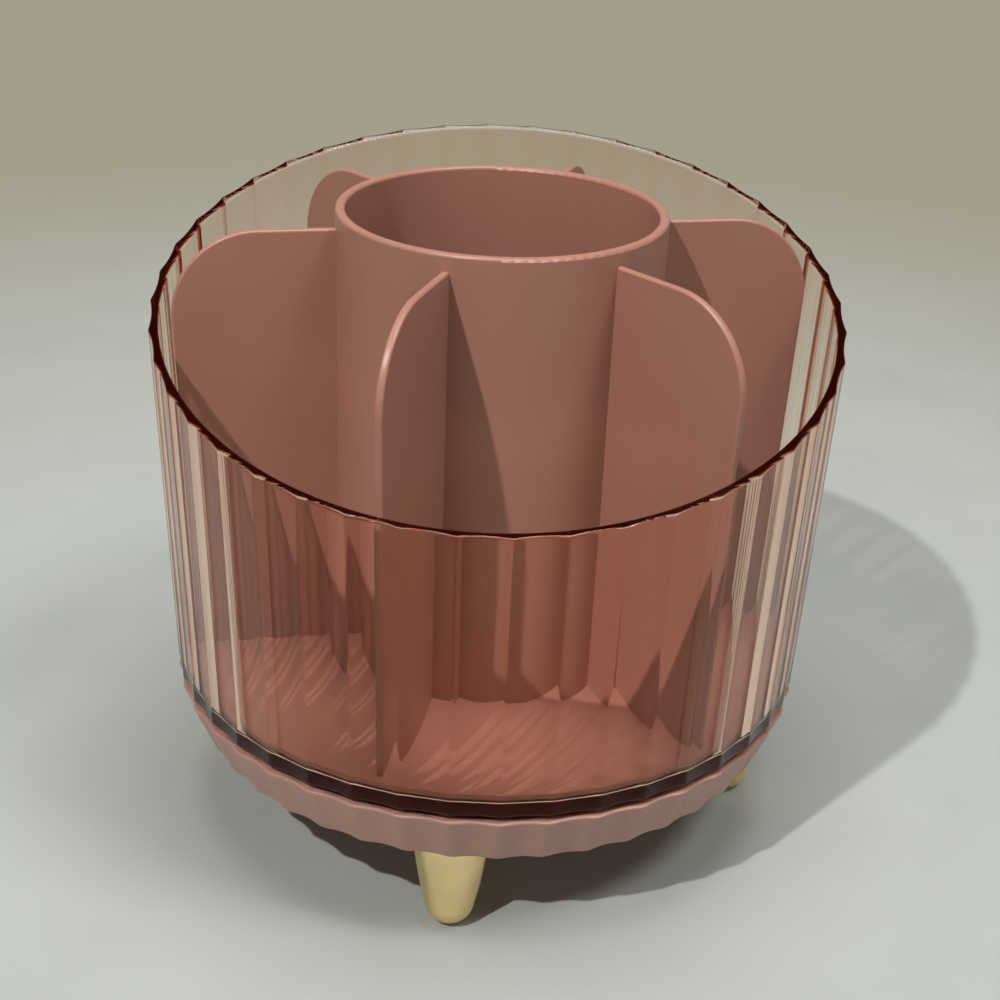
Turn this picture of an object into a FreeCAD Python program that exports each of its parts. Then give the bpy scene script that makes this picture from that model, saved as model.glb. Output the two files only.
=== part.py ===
import FreeCAD, Part
import math
import os

# A rotating pen holder. A clear fluted cup with a slanted rim holds a loose insert with a round
# middle tube and six dividers. The cup turns on a ball bearing in a shallow fluted dish that
# stands on four splayed feet. Lengths are in millimetres and angles in degrees. Z is up, the
# turning axis is the Z axis, the table is at Z = 0 and the low side of the rim faces -Y.

# Flutes of the cup and the dish, which line up at rest
flute_count = 44
flute_phase = 93.3

# Dish of the base
dish_rim_radius = 67.5
dish_side_inset = 4.8
dish_height = 11.7
dish_flute_depth = 0.5
dish_ridge_round = 4.5
dish_edge_chamfer = 0.7
dish_wall = 2.5
dish_floor = 2.2

# Feet, each a splayed cone with a ball-shaped tip
foot_count = 4
foot_azimuth = 264.5
foot_height = 20.2
foot_top_inset = 9.9
foot_splay = 2.6
foot_top_radius = 9.0
foot_tip_radius = 5.3
foot_tip_flat = 2.0
spigot_radius = 4.0
spigot_height = 1.9
spigot_clearance = 0.1
foot_boss_radius = 6.0
foot_boss_height = 2.6

# Clear cup
turning_gap = 1.3
cup_setback = 0.3
cup_draft = 2.03
cup_flute_depth = 0.35
cup_ridge_round = 2.2
cup_wall = 2.0
cup_floor = 2.0
cup_corner_round = 1.2
rim_mean_height = 78.5
rim_tilt = 15.2

# Divider insert
insert_clearance = 0.6
insert_floor = 2.0
insert_edge_chamfer = 1.0
tube_radius = 33.0
tube_wall = 2.0
tube_height = 93.7
tube_lip_round = 0.7
divider_count = 6
divider_azimuth = 12.35
divider_thickness = 1.6
divider_drop = 3.3
divider_wall_gap = 2.7
divider_corner = 17.0
divider_edge_round = 0.5

# Ball bearing between the dish and the cup
ball_count = 16
ball_radius = 2.5
ball_clearance = 0.1
groove_depth = 1.0
race_sheet = 1.0
race_edge = 1.35
race_clearance = 0.4
race_seat_height = 2.2
seat_rib = 1.8
cage_thickness = 1.4
cage_rim = 1.1
pocket_clearance = 0.2

# Screws that hold the races and the feet
race_screw_count = 4
race_screw_azimuth = 40.0
race_screw_radius = 1.2
race_screw_head = 2.1
race_screw_head_height = 1.5
race_screw_grip = 3.0
cage_clearance = 1.15
race_boss_radius = 2.8
foot_screw_radius = 1.5
foot_screw_head = 2.9
foot_screw_head_height = 2.0
foot_screw_length = 12.0
screw_clearance = 0.05
screw_end_gap = 0.4
pan_crown_share = 0.45
pan_flat_share = 0.3
pan_bulge_out = 0.78
pan_bulge_up = 0.72

# Spindle that keeps the cup on the dish
spindle_boss_radius = 8.0
spindle_screw_radius = 2.0
spindle_head_radius = 3.9
spindle_head_height = 2.4
spindle_head_gap = 1.3
spindle_socket_flats = 2.5
spindle_socket_depth = 1.3
sleeve_radius = 3.0
sleeve_bore_clearance = 0.1
bush_radius = 4.6
bush_flange_radius = 7.0
bush_flange = 0.9
bush_running_clearance = 0.05
bush_overhang = 0.3
washer_radius = 7.0
washer_thickness = 0.8
end_float = 0.2
well_radius = 10.0
well_gap = 1.0
nut_flats = 7.0
nut_height = 3.2
nut_recess = 0.3
nut_clearance = 0.1

# How far the middle of an edge may lie from the place that it is looked for at
edge_tolerance = 0.01

# Levels and radii that follow from the sizes above
dish_bottom_radius = dish_rim_radius - dish_side_inset
foot_top_circle = dish_bottom_radius - foot_top_inset
foot_tip_circle = foot_top_circle + foot_splay
cup_bottom_radius = dish_rim_radius - cup_setback
dish_floor_top = foot_height + dish_floor
dish_rim = foot_height + dish_height
cup_bottom = dish_rim + turning_gap
cup_floor_top = cup_bottom + cup_floor
draft_slope = math.tan(math.radians(cup_draft))
rim_centre = cup_bottom + rim_mean_height
insert_floor_top = cup_floor_top + insert_floor
insert_radius = cup_bottom_radius + draft_slope * cup_floor - cup_wall - insert_clearance
tube_top = insert_floor_top + tube_height
divider_top = tube_top - divider_drop
race_outer_radius = foot_top_circle - foot_boss_radius - race_clearance
lower_screw_circle = race_outer_radius - race_edge - race_screw_head
pocket_radius = ball_radius + pocket_clearance
ball_circle = lower_screw_circle - race_screw_head - cage_clearance - cage_rim - pocket_radius
upper_screw_circle = ball_circle - pocket_radius - cage_rim - cage_clearance - race_screw_head
race_inner_radius = upper_screw_circle - race_screw_head - race_edge
groove_radius = ball_radius + ball_clearance
flange_offset = groove_radius - groove_depth
lower_seat = dish_floor_top + race_seat_height
ball_centre = lower_seat + race_sheet + flange_offset
upper_seat = ball_centre + flange_offset + race_sheet
foot_boss_top = dish_floor_top + foot_boss_height
washer_top = cup_floor_top - spindle_head_gap - spindle_head_height
sleeve_top = washer_top - washer_thickness
bush_top = sleeve_top - end_float
well_floor_top = bush_top - bush_flange
well_bottom = well_floor_top - cup_floor
spindle_boss_top = well_bottom - well_gap
nut_pocket_top = foot_height + nut_recess + nut_height


def polar(radius, azimuth, height=0.0):
    """Point at a radius and an azimuth about the Z axis."""
    angle = math.radians(azimuth)
    return FreeCAD.Vector(radius * math.cos(angle), radius * math.sin(angle), height)


def turned(shape, azimuth):
    """Copy of a shape turned about the Z axis."""
    copy = shape.copy()
    copy.rotate(FreeCAD.Vector(0, 0, 0), FreeCAD.Vector(0, 0, 1), azimuth)
    return copy


def post(radius, low, high, at=None):
    """Upright cylinder between two levels."""
    place = at or FreeCAD.Vector(0, 0, 0)
    return Part.makeCylinder(radius, high - low, FreeCAD.Vector(place.x, place.y, low))


def ring(inner, outer, low, high):
    """Upright tube between two levels."""
    return post(outer, low, high).cut(post(inner, low, high))


def revolved(edges):
    """Solid made by turning a closed outline in the XZ plane about the Z axis."""
    face = Part.Face(Part.Wire(edges))
    return face.revolve(FreeCAD.Vector(0, 0, 0), FreeCAD.Vector(0, 0, 1), 360)


def line(start, end):
    """Straight edge between two points given as radius and height."""
    return Part.LineSegment(FreeCAD.Vector(start[0], 0, start[1]), FreeCAD.Vector(end[0], 0, end[1])).toShape()


def arc(start, middle, end):
    """Round edge through three points given as radius and height."""
    points = [FreeCAD.Vector(radius, 0, height) for radius, height in (start, middle, end)]
    return Part.Arc(*points).toShape()


def outline(points):
    """Closed run of straight edges."""
    return [line(start, end) for start, end in zip(points, points[1:] + points[:1])]


def around(count, first):
    """Azimuths of evenly spaced copies."""
    return [first + 360.0 * index / count for index in range(count)]


def fluted_wire(ridge_radius, depth, ridge_round, height):
    """Closed outline of rounded ridges, with a hollow flute that runs smoothly into the ridges beside it."""
    half_pitch = 180.0 / flute_count
    half = math.radians(half_pitch)
    valley = ridge_radius * math.cos(half) - depth
    ridge_centre = ridge_radius - ridge_round
    chord = ridge_centre ** 2 + valley ** 2 - 2 * ridge_centre * valley * math.cos(half)
    hollow = (chord - ridge_round ** 2) / (2 * (ridge_round + ridge_centre * math.cos(half) - valley))
    hollow_centre = valley + hollow
    share = ridge_round / (ridge_round + hollow)
    along = ridge_centre + (hollow_centre * math.cos(half) - ridge_centre) * share
    across = hollow_centre * math.sin(half) * share
    joint_radius = math.hypot(along, across)
    turn = math.degrees(math.atan2(across, along))
    edges = []
    for azimuth in around(flute_count, flute_phase):
        ridge_start = polar(joint_radius, azimuth - turn, height)
        ridge_end = polar(joint_radius, azimuth + turn, height)
        flute_end = polar(joint_radius, azimuth + 2 * half_pitch - turn, height)
        edges.append(Part.Arc(ridge_start, polar(ridge_radius, azimuth, height), ridge_end).toShape())
        edges.append(Part.Arc(ridge_end, polar(valley, azimuth + half_pitch, height), flute_end).toShape())
    return Part.Wire(edges)


def fluted_solid(sections, depth, ridge_round):
    """Fluted body through sections given as ridge radius and height."""
    wires = [fluted_wire(radius, depth, ridge_round, height) for radius, height in sections]
    return Part.makeLoft(wires, True, True)


def hexagon(flats, low, high):
    """Upright hexagonal bar."""
    corner = flats / 2.0 / math.cos(math.radians(30))
    points = [polar(corner, azimuth, low) for azimuth in around(6, 0)]
    face = Part.Face(Part.makePolygon(points + points[:1]))
    return face.extrude(FreeCAD.Vector(0, 0, high - low))


def foot_places():
    """Azimuths of the feet, from the front one."""
    return around(foot_count, foot_azimuth)


def race_screw_places(circle):
    """Middles of the screws on one race."""
    return [polar(circle, azimuth) for azimuth in around(race_screw_count, race_screw_azimuth)]


def base_dish():
    """Shallow fluted dish with the seats of the feet, the lower race and the spindle."""
    slope = (dish_rim_radius - dish_bottom_radius) / dish_height
    edge = dish_edge_chamfer
    sections = [
        (dish_bottom_radius - edge, foot_height),
        (dish_bottom_radius + slope * edge, foot_height + edge),
        (dish_rim_radius - slope * edge, dish_rim - edge),
        (dish_rim_radius - edge, dish_rim),
    ]
    dish = fluted_solid(sections, dish_flute_depth, dish_ridge_round)
    low_inside = dish_bottom_radius + slope * dish_floor - dish_wall
    high_inside = dish_rim_radius - dish_wall
    dish = dish.cut(Part.makeCone(low_inside, high_inside, dish_rim - dish_floor_top,
                                  FreeCAD.Vector(0, 0, dish_floor_top)))
    added = seat_ribs(dish_floor_top, lower_seat)
    added.append(post(spindle_boss_radius, dish_floor_top, spindle_boss_top))
    removed = [post(spindle_screw_radius + screw_clearance, foot_height, spindle_boss_top)]
    removed.append(hexagon(nut_flats + 2 * nut_clearance, foot_height, nut_pocket_top))
    for place in race_screw_places(lower_screw_circle):
        added.append(post(race_boss_radius, dish_floor_top, lower_seat, place))
        removed.append(post(race_screw_radius + screw_clearance,
                            lower_seat - race_screw_grip - screw_end_gap, lower_seat, place))
    for azimuth in foot_places():
        place = polar(foot_top_circle, azimuth)
        added.append(post(foot_boss_radius, dish_floor_top, foot_boss_top, place))
        removed.append(post(foot_screw_radius + screw_clearance, foot_height, foot_boss_top, place))
        removed.append(post(spigot_radius + spigot_clearance, foot_height,
                            foot_height + spigot_height + spigot_clearance, place))
    return dish.fuse(added).cut(removed).removeSplitter()


def seat_ribs(low, high):
    """Round ribs under the two edges of a race and beside its groove."""
    groove_reach = groove_radius + race_sheet
    return [
        ring(race_inner_radius, race_inner_radius + seat_rib, low, high),
        ring(ball_circle - groove_reach - seat_rib, ball_circle - groove_reach, low, high),
        ring(ball_circle + groove_reach, ball_circle + groove_reach + seat_rib, low, high),
        ring(race_outer_radius - seat_rib, race_outer_radius, low, high),
    ]


def foot(azimuth):
    """Splayed cone foot with a ball-shaped tip, a spigot on top and a screw hole."""
    tip_centre = math.sqrt(foot_tip_radius ** 2 - foot_tip_flat ** 2)
    rise = foot_height - tip_centre
    reach = foot_tip_circle - foot_top_circle
    length = math.hypot(rise, reach)
    taper = math.acos(foot_tip_radius / math.hypot(foot_top_radius, length)) - math.atan2(length, foot_top_radius)
    beyond = length + foot_top_radius
    beyond_radius = foot_tip_radius / math.cos(taper) + beyond * math.tan(taper)
    tangent = (foot_tip_radius * math.cos(taper), -foot_tip_radius * math.sin(taper))
    half = (math.radians(-90) - taper) / 2.0
    on_tip = (foot_tip_radius * math.cos(half), foot_tip_radius * math.sin(half))
    cone = revolved([
        arc((0, -foot_tip_radius), on_tip, tangent),
        line(tangent, (beyond_radius, beyond)),
        line((beyond_radius, beyond), (0, beyond)),
        line((0, beyond), (0, -foot_tip_radius)),
    ])
    cone.rotate(FreeCAD.Vector(0, 0, 0), FreeCAD.Vector(0, 1, 0), -math.degrees(math.atan2(reach, rise)))
    cone.translate(FreeCAD.Vector(foot_tip_circle, 0, tip_centre))
    slab_side = 4 * foot_top_radius
    slab = Part.makeBox(slab_side, slab_side, foot_height)
    slab.translate(FreeCAD.Vector(foot_top_circle - slab_side / 2.0, -slab_side / 2.0, 0))
    top = FreeCAD.Vector(foot_top_circle, 0, 0)
    shape = cone.common(slab)
    shape = shape.fuse(post(spigot_radius, foot_height, foot_height + spigot_height, top))
    shape = shape.cut(post(foot_screw_radius + screw_clearance,
                           foot_boss_top - foot_screw_length - screw_end_gap,
                           foot_height + spigot_height, top))
    return turned(shape.removeSplitter(), azimuth)


def pan_screw(shank_radius, length, head_radius, head_height, place, seat, upward=True):
    """Pan head screw whose head stands on a seat, with its shank on the other side."""
    crown = head_height * pan_crown_share
    side = head_height - crown
    flat = head_radius * pan_flat_share
    bulge = (head_radius * pan_bulge_out, side + crown * pan_bulge_up)
    shape = revolved([
        line((0, -length), (shank_radius, -length)),
        line((shank_radius, -length), (shank_radius, 0)),
        line((shank_radius, 0), (head_radius, 0)),
        line((head_radius, 0), (head_radius, side)),
        arc((head_radius, side), bulge, (flat, head_height)),
        line((flat, head_height), (0, head_height)),
        line((0, head_height), (0, -length)),
    ])
    if not upward:
        shape.rotate(FreeCAD.Vector(0, 0, 0), FreeCAD.Vector(1, 0, 0), 180)
    shape.translate(FreeCAD.Vector(place.x, place.y, seat))
    return shape


def foot_screws():
    """One screw down through the dish into each foot."""
    return [pan_screw(foot_screw_radius, foot_screw_length, foot_screw_head, foot_screw_head_height,
                      polar(foot_top_circle, azimuth), foot_boss_top) for azimuth in foot_places()]


def race_screws():
    """Screws that hold the lower race on the dish."""
    return [pan_screw(race_screw_radius, race_screw_grip + race_sheet, race_screw_head,
                      race_screw_head_height, place, lower_seat + race_sheet)
            for place in race_screw_places(lower_screw_circle)]


def cup_screws():
    """Screws that hold the upper race under the cup, with their heads down."""
    return [pan_screw(race_screw_radius, race_screw_grip + race_sheet, race_screw_head,
                      race_screw_head_height, place, upper_seat - race_sheet, upward=False)
            for place in race_screw_places(upper_screw_circle)]


def pressed_race(seat, facing, screw_circle):
    """Pressed sheet ring with a half-round groove that faces the balls."""
    flange = seat + facing * race_sheet
    groove_bottom = flange - facing * groove_depth
    inside_half = math.sqrt(groove_radius ** 2 - flange_offset ** 2)
    back_radius = groove_radius + race_sheet
    back_half = math.sqrt(back_radius ** 2 - (flange_offset + race_sheet) ** 2)
    shape = revolved([
        line((race_inner_radius, seat), (race_inner_radius, flange)),
        line((race_inner_radius, flange), (ball_circle - inside_half, flange)),
        arc((ball_circle - inside_half, flange), (ball_circle, groove_bottom),
            (ball_circle + inside_half, flange)),
        line((ball_circle + inside_half, flange), (race_outer_radius, flange)),
        line((race_outer_radius, flange), (race_outer_radius, seat)),
        line((race_outer_radius, seat), (ball_circle + back_half, seat)),
        arc((ball_circle + back_half, seat), (ball_circle, groove_bottom - facing * race_sheet),
            (ball_circle - back_half, seat)),
        line((ball_circle - back_half, seat), (race_inner_radius, seat)),
    ])
    low = min(seat, flange)
    holes = [post(race_screw_radius + screw_clearance, low, low + race_sheet, place)
             for place in race_screw_places(screw_circle)]
    return shape.cut(holes)


def ball_places():
    """Middles of the balls."""
    return [polar(ball_circle, azimuth, ball_centre) for azimuth in around(ball_count, 0)]


def bearing_balls():
    """Steel balls in the groove."""
    return [Part.makeSphere(ball_radius, place) for place in ball_places()]


def ball_cage():
    """Flat ring with one round pocket for each ball."""
    low = ball_centre - cage_thickness / 2.0
    high = ball_centre + cage_thickness / 2.0
    shape = ring(ball_circle - pocket_radius - cage_rim, ball_circle + pocket_radius + cage_rim, low, high)
    return shape.cut([post(pocket_radius, low, high, place) for place in ball_places()])


def spindle_nut():
    """Hexagonal nut in the pocket under the dish."""
    low = nut_pocket_top - nut_height
    return hexagon(nut_flats, low, nut_pocket_top).cut(
        post(spindle_screw_radius + screw_clearance, low, nut_pocket_top))


def spindle_screw():
    """Middle screw, with a hexagonal socket in its head, that keeps the cup on the dish."""
    length = washer_top - (foot_height + nut_recess)
    shape = pan_screw(spindle_screw_radius, length, spindle_head_radius, spindle_head_height,
                      FreeCAD.Vector(0, 0, 0), washer_top)
    head_top = washer_top + spindle_head_height
    return shape.cut(hexagon(spindle_socket_flats, head_top - spindle_socket_depth, head_top))


def spindle_sleeve():
    """Sleeve that the screw clamps on the dish and that the cup turns on."""
    bore = spindle_screw_radius + sleeve_bore_clearance
    return ring(bore, sleeve_radius, spindle_boss_top, sleeve_top)


def spindle_washer():
    """Washer under the head of the screw, a little above the bush."""
    return ring(spindle_screw_radius + sleeve_bore_clearance, washer_radius, sleeve_top, washer_top)


def spindle_bush():
    """Flanged bush in the middle of the cup's floor."""
    bore = sleeve_radius + bush_running_clearance
    barrel = ring(bore, bush_radius, well_bottom - bush_overhang, bush_top)
    return barrel.fuse(ring(bore, bush_flange_radius, well_floor_top, bush_top)).removeSplitter()


def cup_ridge_radius(height):
    """Radius of the cup over its ridges at a level."""
    return cup_bottom_radius + draft_slope * (height - cup_bottom)


def above_rim():
    """Large block over the slanted plane of the rim."""
    side = 4 * cup_bottom_radius
    block = Part.makeBox(side, side, side, FreeCAD.Vector(-side / 2.0, -side / 2.0, 0))
    block.rotate(FreeCAD.Vector(0, 0, 0), FreeCAD.Vector(1, 0, 0), rim_tilt)
    block.translate(FreeCAD.Vector(0, 0, rim_centre))
    return block


def cup_hollow(top):
    """Smooth tapered inside of the cup, round at the corner of the floor."""
    floor_radius = cup_ridge_radius(cup_floor_top) - cup_wall
    top_radius = cup_ridge_radius(top) - cup_wall
    turn = math.radians(90 - cup_draft)
    inset = cup_corner_round * math.tan(turn / 2.0)
    centre = (floor_radius - inset, cup_floor_top + cup_corner_round)
    middle_angle = -math.radians(90 + cup_draft) / 2.0
    middle = (centre[0] + cup_corner_round * math.cos(middle_angle),
              centre[1] + cup_corner_round * math.sin(middle_angle))
    wall_angle = -math.radians(cup_draft)
    wall_start = (centre[0] + cup_corner_round * math.cos(wall_angle),
                  centre[1] + cup_corner_round * math.sin(wall_angle))
    return revolved([
        line((0, cup_floor_top), (centre[0], cup_floor_top)),
        arc((centre[0], cup_floor_top), middle, wall_start),
        line(wall_start, (top_radius, top)),
        line((top_radius, top), (0, top)),
        line((0, top), (0, cup_floor_top)),
    ])


def outer_cup():
    """Clear fluted cup with a slanted rim and a well for the spindle in its floor."""
    top = rim_centre + 2 * cup_bottom_radius * math.tan(math.radians(rim_tilt))
    cup = fluted_solid([(cup_ridge_radius(cup_bottom), cup_bottom), (cup_ridge_radius(top), top)],
                       cup_flute_depth, cup_ridge_round)
    cup = cup.cut(cup_hollow(top)).cut(above_rim())
    added = seat_ribs(upper_seat, cup_bottom)
    added.append(post(well_radius + cup_wall, well_bottom, cup_bottom))
    removed = [post(well_radius, well_floor_top, cup_floor_top)]
    removed.append(post(bush_radius + screw_clearance, well_bottom, well_floor_top))
    for place in race_screw_places(upper_screw_circle):
        added.append(post(race_boss_radius, upper_seat, cup_bottom, place))
        removed.append(post(race_screw_radius + screw_clearance, upper_seat,
                            upper_seat + race_screw_grip + screw_end_gap, place))
    return cup.fuse(added).cut(removed).removeSplitter()


def divider_plate():
    """One upright divider along +X, with a large round at its top outer corner."""
    inner = tube_radius - tube_wall / 2.0
    bottom = insert_floor_top - insert_floor / 2.0
    edge_at_top = cup_ridge_radius(divider_top) - cup_wall - divider_wall_gap
    edge_at_bottom = cup_ridge_radius(bottom) - cup_wall - divider_wall_gap
    centre_height = divider_top - divider_corner
    edge_at_centre = cup_ridge_radius(centre_height) - cup_wall - divider_wall_gap
    lean = math.radians(cup_draft)
    centre = edge_at_centre - divider_corner / math.cos(lean)
    tangent = (centre + divider_corner * math.cos(lean), centre_height - divider_corner * math.sin(lean))
    middle_angle = (math.radians(90) - lean) / 2.0
    middle = (centre + divider_corner * math.cos(middle_angle),
              centre_height + divider_corner * math.sin(middle_angle))
    edges = [
        line((inner, bottom), (edge_at_bottom, bottom)),
        line((edge_at_bottom, bottom), tangent),
        arc(tangent, middle, (centre, divider_top)),
        line((centre, divider_top), (inner, divider_top)),
        line((inner, divider_top), (inner, bottom)),
    ]
    face = Part.Face(Part.Wire(edges))
    face.translate(FreeCAD.Vector(0, -divider_thickness / 2.0, 0))
    plate = face.extrude(FreeCAD.Vector(0, divider_thickness, 0))
    light_edges = [edge for edge in plate.Edges if on_light_edge(edge, inner, bottom, edge_at_top)]
    return plate.makeFillet(divider_edge_round, light_edges)


def on_light_edge(edge, inner, bottom, widest):
    """True for the long edges of a divider along its top, its corner and its outer side."""
    middle = edge.valueAt((edge.FirstParameter + edge.LastParameter) / 2.0)
    across = abs(edge.Vertexes[0].Y - edge.Vertexes[-1].Y) > divider_thickness / 2.0
    outside = inner < middle.x - edge_tolerance < widest
    return outside and not across and middle.z > bottom + divider_edge_round


def divider_insert():
    """Loose moulding of a floor, a round middle tube and the dividers."""
    floor = revolved(outline([
        (0, cup_floor_top),
        (insert_radius - insert_edge_chamfer, cup_floor_top),
        (insert_radius, cup_floor_top + insert_edge_chamfer),
        (insert_radius, insert_floor_top),
        (0, insert_floor_top),
    ]))
    tube = ring(tube_radius - tube_wall, tube_radius, cup_floor_top, tube_top)
    rounds = [edge for edge in tube.Edges if len(edge.Vertexes) == 1]
    lips = [edge for edge in rounds if edge.Vertexes[0].Z > tube_top - edge_tolerance]
    tube = tube.makeFillet(tube_lip_round, lips)
    plate = divider_plate()
    plates = [turned(plate, azimuth) for azimuth in around(divider_count, divider_azimuth)]
    return floor.fuse([tube] + plates).removeSplitter()


def pieces():
    """Every node and its solid, or its group of solids."""
    front, right, back, left = [foot(azimuth) for azimuth in foot_places()]
    return {
        "base_dish": base_dish(),
        "foot_front": front,
        "foot_right": right,
        "foot_back": back,
        "foot_left": left,
        "foot_screws": Part.makeCompound(foot_screws()),
        "lower_race": pressed_race(lower_seat, 1, lower_screw_circle),
        "race_screws": Part.makeCompound(race_screws()),
        "ball_cage": ball_cage(),
        "bearing_balls": Part.makeCompound(bearing_balls()),
        "upper_race": pressed_race(upper_seat, -1, upper_screw_circle),
        "cup_screws": Part.makeCompound(cup_screws()),
        "spindle_nut": spindle_nut(),
        "spindle_screw": spindle_screw(),
        "spindle_sleeve": spindle_sleeve(),
        "spindle_washer": spindle_washer(),
        "spindle_bush": spindle_bush(),
        "outer_cup": outer_cup(),
        "divider_insert": divider_insert(),
    }


os.makedirs("parts", exist_ok=True)
for node, shape in pieces().items():
    shape.exportStep("parts/" + node + ".step")
    box = shape.BoundBox
    print(node, len(shape.Solids), "solids, valid", shape.isValid(), "volume", round(shape.Volume, 1),
          "height", round(box.ZMin, 2), "to", round(box.ZMax, 2))
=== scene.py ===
import math

import bmesh
import bpy
from mathutils import Euler, Matrix, Vector


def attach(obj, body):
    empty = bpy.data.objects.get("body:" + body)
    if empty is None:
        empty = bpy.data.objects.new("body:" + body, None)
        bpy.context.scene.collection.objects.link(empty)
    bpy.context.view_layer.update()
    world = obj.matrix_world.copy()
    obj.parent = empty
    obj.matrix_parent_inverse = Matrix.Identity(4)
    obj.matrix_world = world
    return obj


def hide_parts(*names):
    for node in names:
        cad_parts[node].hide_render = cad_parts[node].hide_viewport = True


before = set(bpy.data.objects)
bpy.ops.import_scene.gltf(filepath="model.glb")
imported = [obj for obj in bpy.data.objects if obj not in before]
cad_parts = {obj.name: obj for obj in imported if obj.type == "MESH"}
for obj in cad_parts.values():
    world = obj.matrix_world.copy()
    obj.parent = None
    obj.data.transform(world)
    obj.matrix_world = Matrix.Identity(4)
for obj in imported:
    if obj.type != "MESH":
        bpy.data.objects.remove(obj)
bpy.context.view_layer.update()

# Looks of a rotating pen holder: a clear fluted cup, a lift-out divider insert, a fluted dish
# on four plated feet, and the ball bearing between them. Sizes and distances are millimetres,
# which MM turns into the metres of the scene, and angles are degrees. The holder turns about
# the Z axis, and its front faces -Y.

MM = 0.001

# Flutes of the cup and the dish: round hollows between rounded ridges, one ridge at flute_phase
flute_count = 44
flute_pitch = 360.0 / flute_count
flute_phase = 93.3
cup_flute_depth = 0.35
cup_ridge_round = 2.2
dish_flute_depth = 0.5
dish_ridge_round = 4.5

# How many columns of a fluted wall stand on one ridge and in one flute
ridge_columns = 6
flute_columns = 8

# Fluted dish under the cup
dish_rim_radius = 67.5
dish_side_inset = 4.8
dish_low = 20.2
dish_high = 31.9
dish_wall = 2.5
dish_floor_top = 22.4

# Middle of the dish, with the pocket of the nut underneath
spindle_hole = 2.05
nut_flats = 7.2
nut_pocket_top = 23.7
spindle_boss_radius = 8.0
spindle_boss_top = 26.6

# Clear cup, wider towards its rim, which lies in a plane that is low at the front
cup_bottom_radius = 67.2
cup_bottom = 33.2
cup_draft = 2.03
cup_wall = 2.0
cup_floor = 2.0
rim_centre = 111.7
rim_tilt = 15.2
well_radius = 10.0
well_bottom = 27.6
bush_hole = 4.65
wall_rows = (45.0, 60.0, 75.0)

# Round ribs and bosses that the two races are screwed to, a pair of ribs at each circle of screws
lower_seat = 24.6
upper_seat = 29.8
lower_screw_circle = 42.95
upper_screw_circle = 28.85
race_screw_azimuths = [40.0 + 90.0 * turn for turn in range(4)]
race_boss_radius = 2.8
seat_rib = 1.8
seat_reach = 3.45
rib_starts = [start for circle in (upper_screw_circle, lower_screw_circle)
              for start in (circle - seat_reach, circle + seat_reach - seat_rib)]

# Bosses over the feet
foot_azimuths = [264.5 + 90.0 * turn for turn in range(4)]
foot_circle = 52.8
foot_boss_radius = 6.0
foot_boss_top = 25.0

# How far the bosses reach into the floor that they stand on
cup_boss_root = 0.6
dish_boss_root = 0.5

# How much is rounded off the corners of the two sections. The smallest rounds have fewer points.
rib_round = 0.2
cup_edge_round = 0.6
cup_rim_round = 0.55
cup_corner_round = 1.3
well_edge_round = 0.5
well_corner_round = 0.4
well_lip_round = 0.3
bush_hole_round = 0.15
dish_edge_round = 0.8
dish_corner_round = 0.6
spindle_boss_round = 0.3
spindle_hole_round = 0.1
nut_pocket_round = 0.1
small_round = 0.25

# Where the camera stood, what it was aimed at, and its lens in pixels of the square picture
camera_place = (0.0, -322.97, 223.5)
camera_aim = (1.803, 0.0, 66.83)
camera_roll = 2.3262
lens_pixels = 1678.2
picture_side = 1000
film_width = 36.0

# Lamps, and the table top, which fades into the backdrop between two distances
lamp_distance = 2500.0
lamp_aim_height = 70.0
floor_half = 30000.0
fade_start = 120.0
fade_end = 600.0

# Colours of the surroundings, behind the holder and ahead of it, overhead and near the horizon
overhead_behind = (0.03, 0.028, 0.024)
horizon_behind = (0.36, 0.345, 0.30)
overhead_ahead = (0.09, 0.088, 0.08)
horizon_ahead = (0.56, 0.54, 0.50)
backdrop = (0.37, 0.34, 0.26)
black = (0.0, 0.0, 0.0)


# Meshes

def mesh_object(name, points, faces):
    """Object from points in millimetres and the faces between them."""
    mesh = bpy.data.meshes.new(name)
    mesh.from_pydata([Vector(point) * MM for point in points], [], faces)
    mesh.validate()
    thing = bpy.data.objects.new(name, mesh)
    bpy.context.scene.collection.objects.link(thing)
    return thing


def smooth_by_angle(thing, degrees):
    """Smooth shading that stays crisp over edges sharper than an angle."""
    mesh = thing.data
    mesh.shade_smooth()
    mesh.set_sharp_from_angle(angle=math.radians(degrees))


def flute_shape(ridge_radius, depth, ridge_round):
    """Angle at which a ridge's round ends, and the hollow of the flute beside it.

    The hollow is given by the distance of its centre from the turning axis and by its radius.
    """
    half = math.radians(flute_pitch / 2.0)
    valley = ridge_radius * math.cos(half) - depth
    ridge_centre = ridge_radius - ridge_round
    rest = ridge_round ** 2 - ridge_centre ** 2 - valley ** 2 + 2 * ridge_centre * valley * math.cos(half)
    hollow = rest / (2 * (valley - ridge_centre * math.cos(half) - ridge_round))
    away = valley + hollow
    share = ridge_round / (hollow + ridge_round)
    across = away * math.sin(half) * share
    outwards = ridge_centre + (away * math.cos(half) - ridge_centre) * share
    return math.atan2(across, outwards), away, hollow


def column_azimuths(ridge_radius, depth, ridge_round):
    """Azimuths of all columns of a fluted wall, closer together over the ridges."""
    pitch = math.radians(flute_pitch)
    edge = flute_shape(ridge_radius, depth, ridge_round)[0]
    steps = [edge * (2.0 * column / ridge_columns - 1.0) for column in range(ridge_columns)]
    steps += [edge + (pitch - 2.0 * edge) * column / flute_columns for column in range(flute_columns)]
    return [flute_phase + flute_pitch * flute + math.degrees(step)
            for flute in range(flute_count) for step in steps]


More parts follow.
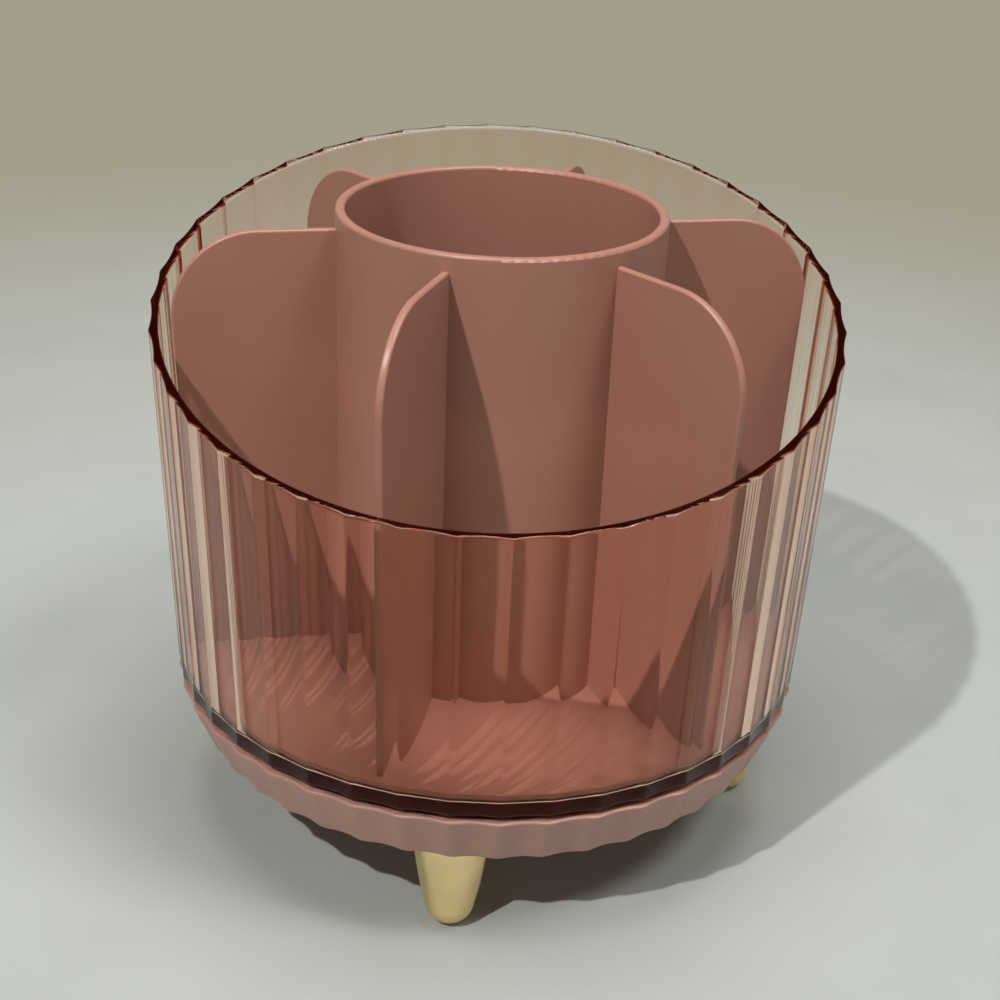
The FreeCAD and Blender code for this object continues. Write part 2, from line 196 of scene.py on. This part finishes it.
def flute_radius(azimuth, ridge_radius, depth, ridge_round):
    """Radius of a fluted wall at an azimuth: round hollows between rounded ridges."""
    edge, away, hollow = flute_shape(ridge_radius, depth, ridge_round)
    half = math.radians(flute_pitch / 2.0)
    off = abs((math.radians(azimuth - flute_phase) + half) % (2.0 * half) - half)
    if off <= edge:
        centre = ridge_radius - ridge_round
        return centre * math.cos(off) + math.sqrt(ridge_round ** 2 - (centre * math.sin(off)) ** 2)
    from_middle = half - off
    return away * math.cos(from_middle) - math.sqrt(hollow ** 2 - (away * math.sin(from_middle)) ** 2)


def rounded(corners, guard=0.25):
    """Closed outline with its corners rounded. A corner is radius, height and how much is rounded off.

    A point a little before and after each round keeps the straight stretches flat in their shading.
    """
    made = []
    count = len(corners)
    for index in range(count):
        here = Vector(corners[index][:2])
        before = (Vector(corners[index - 1][:2]) - here).normalized()
        after = (Vector(corners[(index + 1) % count][:2]) - here).normalized()
        size = corners[index][2]
        if size <= 0:
            made.append(here)
            continue
        steps = 4 if size > small_round else 2
        made.append(here + before * size * (1 + guard))
        for step in range(steps + 1):
            share = step / steps
            made.append(here + before * size * (1 - share) ** 2 + after * size * share ** 2)
        made.append(here + after * size * (1 + guard))
    return made


def turned_shell(name, azimuths, outline_at):
    """Closed ring-shaped shell whose outline may change with the azimuth."""
    outlines = [outline_at(azimuth) for azimuth in azimuths]
    points = []
    for azimuth, outline in zip(azimuths, outlines):
        angle = math.radians(azimuth)
        points += [(radius * math.cos(angle), radius * math.sin(angle), height)
                   for radius, height in outline]
    rows = len(outlines[0])
    faces = []
    for column in range(len(azimuths)):
        this = column * rows
        following = (column + 1) % len(azimuths) * rows
        for row in range(rows):
            next_row = (row + 1) % rows
            faces.append((this + row, following + row, following + next_row, this + next_row))
    return mesh_object(name, points, faces)


def bosses(circle, azimuths, radius, low, high, edge=0.3, columns=40):
    """Upright round bosses with a rounded top edge, spread over a circle."""
    shape = bmesh.new()
    shoulder = 0.3 * edge
    profile = ((radius, low), (radius, high - edge),
               (radius - shoulder, high - shoulder), (radius - edge, high))
    turns = [2.0 * math.pi * column / columns for column in range(columns)]
    for azimuth in azimuths:
        middle_x = circle * math.cos(math.radians(azimuth))
        middle_y = circle * math.sin(math.radians(azimuth))
        rings = []
        for ring_radius, height in profile:
            places = [Vector((middle_x + ring_radius * math.cos(turn),
                              middle_y + ring_radius * math.sin(turn), height)) for turn in turns]
            rings.append([shape.verts.new(place * MM) for place in places])
        for lower, upper in zip(rings, rings[1:]):
            for column in range(columns):
                following = (column + 1) % columns
                shape.faces.new((lower[column], lower[following], upper[following], upper[column]))
        shape.faces.new(rings[-1])
        shape.faces.new(rings[0][::-1])
    return shape


def add_bosses(thing, made):
    """Joins bosses to the mesh of a piece that they stand in."""
    made.from_mesh(thing.data)
    made.to_mesh(thing.data)
    made.free()


def merge_bosses(thing, made):
    """Makes one closed skin of a piece and its bosses."""
    mesh = bpy.data.meshes.new("bosses")
    made.to_mesh(mesh)
    made.free()
    tool = bpy.data.objects.new("bosses", mesh)
    bpy.context.scene.collection.objects.link(tool)
    union = thing.modifiers.new("union", "BOOLEAN")
    union.operation = "UNION"
    union.solver = "EXACT"
    union.object = tool
    bpy.context.view_layer.update()
    graph = bpy.context.evaluated_depsgraph_get()
    merged = bpy.data.meshes.new_from_object(thing.evaluated_get(graph))
    thing.modifiers.clear()
    thing.data = merged
    bpy.data.objects.remove(tool)


# Sections of the cup and the dish

def cup_ridge(height):
    """Radius of the cup over its ridges."""
    return cup_bottom_radius + math.tan(math.radians(cup_draft)) * (height - cup_bottom)


def rim_point(azimuth, radius_at, rounds=8):
    """Where a wall, given by its radius at a height, meets the slanted plane of the rim.

    The radius depends on the height and the height on the radius, so they are worked out in turn.
    """
    height = rim_centre
    slope = math.tan(math.radians(rim_tilt)) * math.sin(math.radians(azimuth))
    for _ in range(rounds):
        height = rim_centre + slope * radius_at(height)
    return radius_at(height), height


def cup_outline(azimuth):
    """Section of the cup at an azimuth, from the bush's hole outwards and over the rim."""
    def outside(height):
        return flute_radius(azimuth, cup_ridge(height), cup_flute_depth, cup_ridge_round)

    def inside(height):
        return cup_ridge(height) - cup_wall

    well_outside = well_radius + cup_wall
    corners = [(bush_hole, well_bottom, bush_hole_round), (well_outside, well_bottom, well_edge_round),
               (well_outside, cup_bottom, well_corner_round)]
    for start in rib_starts:
        corners += [(start, cup_bottom, rib_round), (start, upper_seat, rib_round),
                    (start + seat_rib, upper_seat, rib_round), (start + seat_rib, cup_bottom, rib_round)]
    corners += [(outside(cup_bottom), cup_bottom, cup_edge_round)]
    corners += [(outside(height), height, 0) for height in wall_rows]
    corners += [(*rim_point(azimuth, outside), cup_rim_round), (*rim_point(azimuth, inside), cup_rim_round)]
    corners += [(inside(height), height, 0) for height in reversed(wall_rows)]
    floor_top = cup_bottom + cup_floor
    well_floor = well_bottom + cup_floor
    corners += [(inside(floor_top), floor_top, cup_corner_round), (well_radius, floor_top, well_lip_round),
                (well_radius, well_floor, well_corner_round), (bush_hole, well_floor, bush_hole_round)]
    return rounded(corners)


def nut_pocket(azimuth):
    """Distance of the nut pocket's side from the turning axis at an azimuth: six flats."""
    return nut_flats / 2.0 / math.cos(math.radians((azimuth + 30.0) % 60.0 - 30.0))


def dish_outline(azimuth):
    """Section of the dish at an azimuth, from the spindle's hole outwards, with its nut pocket below."""
    slope = dish_side_inset / (dish_high - dish_low)

    def outside(height):
        ridge = dish_rim_radius - slope * (dish_high - height)
        return flute_radius(azimuth, ridge, dish_flute_depth, dish_ridge_round)

    pocket = nut_pocket(azimuth)
    inner_wall = dish_rim_radius - dish_wall
    inner_low = inner_wall - slope * (dish_high - dish_floor_top)
    corners = [(spindle_hole, nut_pocket_top, 0), (pocket, nut_pocket_top, 0),
               (pocket, dish_low, nut_pocket_round), (outside(dish_low), dish_low, dish_edge_round),
               (outside(dish_high), dish_high, dish_edge_round), (inner_wall, dish_high, dish_edge_round),
               (inner_low, dish_floor_top, dish_corner_round)]
    for start in reversed(rib_starts):
        corners += [(start + seat_rib, dish_floor_top, rib_round), (start + seat_rib, lower_seat, rib_round),
                    (start, lower_seat, rib_round), (start, dish_floor_top, rib_round)]
    corners += [(spindle_boss_radius, dish_floor_top, spindle_boss_round),
                (spindle_boss_radius, spindle_boss_top, spindle_boss_round),
                (spindle_hole, spindle_boss_top, spindle_hole_round)]
    return rounded(corners)


# Nodes that the materials are put together from

def noise(tree, place, scale, detail):
    """Noise whose value is between 0 and 1, with its scale in lumps per metre."""
    node = tree.nodes.new("ShaderNodeTexNoise")
    node.inputs["Scale"].default_value = scale
    node.inputs["Detail"].default_value = detail
    tree.links.new(place, node.inputs["Vector"])
    return node.outputs["Fac"]


def stretched(tree, place, stretch):
    """Coordinates scaled by axis."""
    node = tree.nodes.new("ShaderNodeMapping")
    node.inputs["Scale"].default_value = stretch
    tree.links.new(place, node.inputs["Vector"])
    return node.outputs["Vector"]


def distance(tree, place):
    """Distance of a place from the origin of its coordinates."""
    node = tree.nodes.new("ShaderNodeVectorMath")
    node.operation = "LENGTH"
    tree.links.new(place, node.inputs[0])
    return node.outputs["Value"]


def spread(tree, value, low, high):
    """A noise value, most of which lies between 0.3 and 0.7, as a number between two ends."""
    node = tree.nodes.new("ShaderNodeMapRange")
    node.inputs["From Min"].default_value = 0.3
    node.inputs["From Max"].default_value = 0.7
    node.inputs["To Min"].default_value = low
    node.inputs["To Max"].default_value = high
    tree.links.new(value, node.inputs["Value"])
    return node.outputs["Result"]


def smooth_share(tree, value, start, end):
    """Share that goes smoothly from 0 to 1 while a value goes from start to end."""
    node = tree.nodes.new("ShaderNodeMapRange")
    node.interpolation_type = "SMOOTHSTEP"
    node.inputs["From Min"].default_value = start
    node.inputs["From Max"].default_value = end
    tree.links.new(value, node.inputs["Value"])
    return node.outputs["Result"]


def maths(tree, operation, first, second):
    """Sum, product or larger one of two values, each a socket or a number."""
    node = tree.nodes.new("ShaderNodeMath")
    node.operation = operation
    for socket, value in zip(node.inputs, (first, second)):
        if isinstance(value, float):
            socket.default_value = value
        else:
            tree.links.new(value, socket)
    return node.outputs[0]


def toned(tree, colour, hue, brightness):
    """Colour whose hue and brightness vary with two values. A hue of 0.5 leaves it as it is."""
    node = tree.nodes.new("ShaderNodeHueSaturation")
    tree.links.new(colour, node.inputs["Color"])
    tree.links.new(hue, node.inputs["Hue"])
    tree.links.new(brightness, node.inputs["Value"])
    return node.outputs["Color"]


def blend(tree, first, second, share):
    """Mix of two colours, each a socket or three numbers."""
    node = tree.nodes.new("ShaderNodeMix")
    node.data_type = "RGBA"
    for socket, value in ((node.inputs["A"], first), (node.inputs["B"], second)):
        if isinstance(value, tuple):
            socket.default_value = (*value, 1.0)
        else:
            tree.links.new(value, socket)
    tree.links.new(share, node.inputs["Factor"])
    return node.outputs["Result"]


# Skins that the materials share

def new_skin(name):
    """Shader group that is given a colour, a roughness and how much that roughness changes."""
    group = bpy.data.node_groups.new(name, "ShaderNodeTree")
    colour, number = "NodeSocketColor", "NodeSocketFloat"
    for label, kind in (("Colour", colour), ("Roughness", number), ("Change", number)):
        group.interface.new_socket(label, in_out="INPUT", socket_type=kind)
    for label, kind in (("Colour", colour), ("Roughness", number), ("Height", number)):
        group.interface.new_socket(label, in_out="OUTPUT", socket_type=kind)
    place = group.nodes.new("ShaderNodeTexCoord").outputs["Object"]
    return group, group.nodes.new("NodeGroupInput").outputs, place


def put_out(group, given, colour, uneven, height):
    """Outputs of a skin: its colour, its roughness with the uneven part added, and its height."""
    made = group.nodes.new("NodeGroupOutput").inputs
    change = maths(group, "MULTIPLY", uneven, given["Change"])
    group.links.new(colour, made["Colour"])
    group.links.new(maths(group, "ADD", given["Roughness"], change), made["Roughness"])
    group.links.new(height, made["Height"])
    return group


def moulded_effect():
    """Satin moulded plastic: slow clouds of tone, upright flow marks and a fine grain."""
    group, given, place = new_skin("moulded_skin")
    cloud = noise(group, place, scale=22.0, detail=3.0)
    flow = noise(group, stretched(group, place, (1.0, 1.0, 0.12)), scale=130.0, detail=2.0)
    grain = noise(group, place, scale=1500.0, detail=2.0)
    tone = maths(group, "MULTIPLY", spread(group, cloud, 0.965, 1.035), spread(group, grain, 0.985, 1.015))
    colour = toned(group, given["Colour"], spread(group, flow, 0.4985, 0.5015), tone)
    uneven = maths(group, "ADD", spread(group, flow, -0.5, 0.5), spread(group, grain, -0.5, 0.5))
    height = maths(group, "ADD", grain, maths(group, "MULTIPLY", flow, 0.6))
    return put_out(group, given, colour, uneven, height)


def plated_effect():
    """Bright plating: slightly wavy, with warm and cool patches and a few duller specks."""
    group, given, place = new_skin("plated_skin")
    patch = noise(group, place, scale=90.0, detail=2.0)
    wave = noise(group, place, scale=210.0, detail=1.0)
    speck = noise(group, place, scale=1900.0, detail=2.0)
    hue = spread(group, patch, 0.494, 0.506)
    colour = toned(group, given["Colour"], hue, spread(group, wave, 0.95, 1.04))
    height = maths(group, "ADD", wave, maths(group, "MULTIPLY", speck, 0.04))
    return put_out(group, given, colour, spread(group, speck, -0.5, 0.5), height)


def turned_effect():
    """Rolled sheet with fine rings round the turning axis and a cloudy zinc coat."""
    group, given, place = new_skin("turned_skin")
    rings = group.nodes.new("ShaderNodeTexNoise")
    rings.noise_dimensions = "1D"
    rings.inputs["Scale"].default_value = 2600.0
    rings.inputs["Detail"].default_value = 3.0
    group.links.new(distance(group, stretched(group, place, (1.0, 1.0, 0.0))), rings.inputs["W"])
    lines = rings.outputs["Fac"]
    zinc = noise(group, place, scale=260.0, detail=3.0)
    hue = spread(group, zinc, 0.495, 0.505)
    colour = toned(group, given["Colour"], hue, spread(group, zinc, 0.9, 1.06))
    height = maths(group, "ADD", lines, maths(group, "MULTIPLY", zinc, 0.3))
    return put_out(group, given, colour, spread(group, lines, -0.5, 0.5), height)


moulded_skin = moulded_effect()
plated_skin = plated_effect()
turned_skin = turned_effect()


# Materials

def surface(name, skin, colour, roughness, change, relief, metallic=0.0):
    """Material on a shared skin. Relief is the height of its bumps in millimetres."""
    made = bpy.data.materials.new(name)
    made.use_nodes = True
    tree = made.node_tree
    body = tree.nodes["Principled BSDF"]
    body.inputs["Metallic"].default_value = metallic
    effects = tree.nodes.new("ShaderNodeGroup")
    effects.name = "skin"
    effects.node_tree = skin
    effects.inputs["Colour"].default_value = (*colour, 1.0)
    effects.inputs["Roughness"].default_value = roughness
    effects.inputs["Change"].default_value = change
    bump = tree.nodes.new("ShaderNodeBump")
    bump.inputs["Strength"].default_value = 1.0
    bump.inputs["Distance"].default_value = relief * MM
    tree.links.new(effects.outputs["Colour"], body.inputs["Base Color"])
    tree.links.new(effects.outputs["Roughness"], body.inputs["Roughness"])
    tree.links.new(effects.outputs["Height"], bump.inputs["Height"])
    tree.links.new(bump.outputs["Normal"], body.inputs["Normal"])
    return made


def clear_pink():
    """Clear dyed plastic, pale through one wall and dark red where light runs along the wall.

    The tint of its reflections and a very faint red glow, which is painted light, stand in for light that
    the dye scatters.
    """
    made = surface("clear_pink", moulded_skin, (0.99, 0.93, 0.885),
                   roughness=0.015, change=0.012, relief=0.0001)
    tree = made.node_tree
    body = tree.nodes["Principled BSDF"]
    body.inputs["IOR"].default_value = 1.49
    body.inputs["Transmission Weight"].default_value = 1.0
    body.inputs["Specular Tint"].default_value = (0.55, 0.14, 0.11, 1.0)
    # Painted glow: faint red light that the clear plastic gives off though it is no lamp, lifting its
    # darkest parts to dark red
    body.inputs["Emission Color"].default_value = (0.0018, 0.0004, 0.0003, 1.0)
    body.inputs["Emission Strength"].default_value = 1.0
    dye = tree.nodes.new("ShaderNodeVolumeAbsorption")
    dye.inputs["Color"].default_value = (0.95, 0.40, 0.08, 1.0)
    dye.inputs["Density"].default_value = 95.0
    tree.links.new(dye.outputs["Volume"], tree.nodes["Material Output"].inputs["Volume"])
    return made


def pale_floor():
    """Pale table top that keeps the holder's shadow and runs into the backdrop far away from it."""
    made = surface("pale_floor", moulded_skin, (0.38, 0.40, 0.372), roughness=0.6, change=0.06, relief=0.01)
    tree = made.node_tree
    body = tree.nodes["Principled BSDF"]
    place = tree.nodes.new("ShaderNodeTexCoord").outputs["Object"]
    far = smooth_share(tree, distance(tree, place), fade_start * MM, fade_end * MM)
    lit = blend(tree, tree.nodes["skin"].outputs["Colour"], black, far)
    tree.links.new(lit, body.inputs["Base Color"])
    rays = tree.nodes.new("ShaderNodeLightPath").outputs
    through = maths(tree, "MAXIMUM", rays["Is Glossy Ray"], rays["Is Transmission Ray"])
    seen = maths(tree, "MAXIMUM", rays["Is Camera Ray"], through)
    glow = blend(tree, black, backdrop, maths(tree, "MULTIPLY", far, seen))
    tree.links.new(glow, body.inputs["Emission Color"])
    body.inputs["Emission Strength"].default_value = 1.0
    body.inputs["Specular IOR Level"].default_value = 0.0
    return made


def give(material, *names):
    """Puts a material on nodes of the frame."""
    for name in names:
        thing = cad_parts[name]
        thing.data.materials.clear()
        thing.data.materials.append(material)


# Pieces

def make_cup():
    """Clear cup, of one closed skin with its bosses, because light goes through them."""
    columns = column_azimuths(cup_bottom_radius, cup_flute_depth, cup_ridge_round)
    made = turned_shell("clear_cup", columns, cup_outline)
    merge_bosses(made, bosses(upper_screw_circle, race_screw_azimuths, race_boss_radius,
                              upper_seat, cup_bottom + cup_boss_root))
    smooth_by_angle(made, degrees=32)
    made.data.materials.append(clear_pink())
    return made


def make_dish():
    """Fluted dish, with the bosses of the lower race and the feet on its floor."""
    columns = column_azimuths(dish_rim_radius, dish_flute_depth, dish_ridge_round)
    made = turned_shell("fluted_dish", columns, dish_outline)
    low = dish_floor_top - dish_boss_root
    add_bosses(made, bosses(lower_screw_circle, race_screw_azimuths, race_boss_radius, low, lower_seat))
    add_bosses(made, bosses(foot_circle, foot_azimuths, foot_boss_radius, low, foot_boss_top))
    smooth_by_angle(made, degrees=40)
    made.data.materials.append(
        surface("pink_base", moulded_skin, (0.40, 0.216, 0.178), roughness=0.34, change=0.04, relief=0.002))
    return made


cup = make_cup()
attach(cup, "cup")
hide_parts("outer_cup")

dish = make_dish()
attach(dish, "base")
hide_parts("base_dish")

give(surface("pink_insert", moulded_skin, (0.385, 0.176, 0.130), roughness=0.36, change=0.06, relief=0.004),
     "divider_insert")
give(surface("plated_gold", plated_skin, (0.98, 0.76, 0.40), roughness=0.16, change=0.06, relief=0.03,
             metallic=1.0), "foot_front", "foot_right", "foot_back", "foot_left")
give(surface("pressed_steel", turned_skin, (0.56, 0.565, 0.57), roughness=0.34, change=0.16, relief=0.002,
             metallic=1.0), "lower_race", "upper_race")
give(surface("screw_steel", plated_skin, (0.58, 0.58, 0.60), roughness=0.30, change=0.16, relief=0.01,
             metallic=1.0), "foot_screws", "race_screws", "cup_screws",
     "spindle_screw", "spindle_nut", "spindle_washer", "spindle_sleeve")
give(surface("ball_steel", plated_skin, (0.74, 0.74, 0.76), roughness=0.08, change=0.05, relief=0.001,
             metallic=1.0), "bearing_balls")
give(surface("natural_nylon", moulded_skin, (0.80, 0.77, 0.68), roughness=0.45, change=0.12, relief=0.01),
     "ball_cage", "spindle_bush")


# Floor, surroundings, lamps and camera

def make_floor():
    """Table top, so wide that its edge is out of sight."""
    corners = [(-floor_half, -floor_half, 0), (floor_half, -floor_half, 0),
               (floor_half, floor_half, 0), (-floor_half, floor_half, 0)]
    made = mesh_object("floor", corners, [(0, 1, 2, 3)])
    made.data.materials.append(pale_floor())
    return made


def make_world():
    """Surroundings that are dark overhead and pale near the horizon, most of all in front.

    The camera sees the plain backdrop instead.
    """
    world = bpy.data.worlds.new("studio")
    world.use_nodes = True
    sky = world.node_tree
    direction = sky.nodes.new("ShaderNodeSeparateXYZ")
    sky.links.new(sky.nodes.new("ShaderNodeTexCoord").outputs["Generated"], direction.inputs[0])
    low = smooth_share(sky, direction.outputs["Z"], 0.45, 0.2)
    in_front = smooth_share(sky, direction.outputs["Y"], 0.2, -0.2)
    behind = blend(sky, overhead_behind, horizon_behind, low)
    ahead = blend(sky, overhead_ahead, horizon_ahead, low)
    light = blend(sky, behind, ahead, in_front)
    camera_ray = sky.nodes.new("ShaderNodeLightPath").outputs["Is Camera Ray"]
    sky.links.new(blend(sky, light, backdrop, camera_ray), sky.nodes["Background"].inputs["Color"])
    return world


def soft_lamp(name, azimuth, elevation, size, power):
    """Square lamp, of a power in watts, that faces the middle of the holder from a good way off."""
    data = bpy.data.lights.new(name, "AREA")
    data.shape = "SQUARE"
    data.size = size * MM
    data.energy = power
    data.cycles.is_caustics_light = True
    away = Vector((lamp_distance * MM, 0.0, 0.0))
    away.rotate(Euler((0.0, -math.radians(elevation), math.radians(azimuth))))
    lamp = bpy.data.objects.new(name, data)
    lamp.location = away + Vector((0.0, 0.0, lamp_aim_height * MM))
    lamp.rotation_mode = "QUATERNION"
    lamp.rotation_quaternion = away.to_track_quat("Z", "Y")
    bpy.context.scene.collection.objects.link(lamp)


def make_camera():
    """Camera that stands where the photograph was taken from."""
    data = bpy.data.cameras.new("camera")
    data.sensor_width = film_width
    data.lens = lens_pixels * film_width / picture_side
    data.clip_start = 10.0 * MM
    made = bpy.data.objects.new("camera", data)
    bpy.context.scene.collection.objects.link(made)
    place = Vector(camera_place) * MM
    look = (Vector(camera_aim) * MM - place).to_track_quat("-Z", "Y").to_matrix().to_4x4()
    roll = Matrix.Rotation(math.radians(camera_roll), 4, "Z")
    made.matrix_world = Matrix.Translation(place) @ look @ roll
    return made


floor = make_floor()

scene = bpy.context.scene
scene.world = make_world()
soft_lamp("key_lamp", azimuth=232, elevation=50, size=50, power=41.0)
soft_lamp("side_lamp", azimuth=334, elevation=60, size=600, power=22.0)
soft_lamp("top_lamp", azimuth=0, elevation=88, size=1250, power=41.0)

# The flutes of the cup focus the lamps' light on the insert and the table top
cup.cycles.is_caustics_caster = True
for thing in (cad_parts["divider_insert"], floor):
    thing.cycles.is_caustics_receiver = True

# Bounces enough for the light that goes through the walls and along inside them
scene.cycles.max_bounces = 24
scene.cycles.transmission_bounces = 24
scene.cycles.glossy_bounces = 12
scene.cycles.transparent_max_bounces = 16

scene.camera = make_camera()
scene.view_settings.view_transform = "Standard"
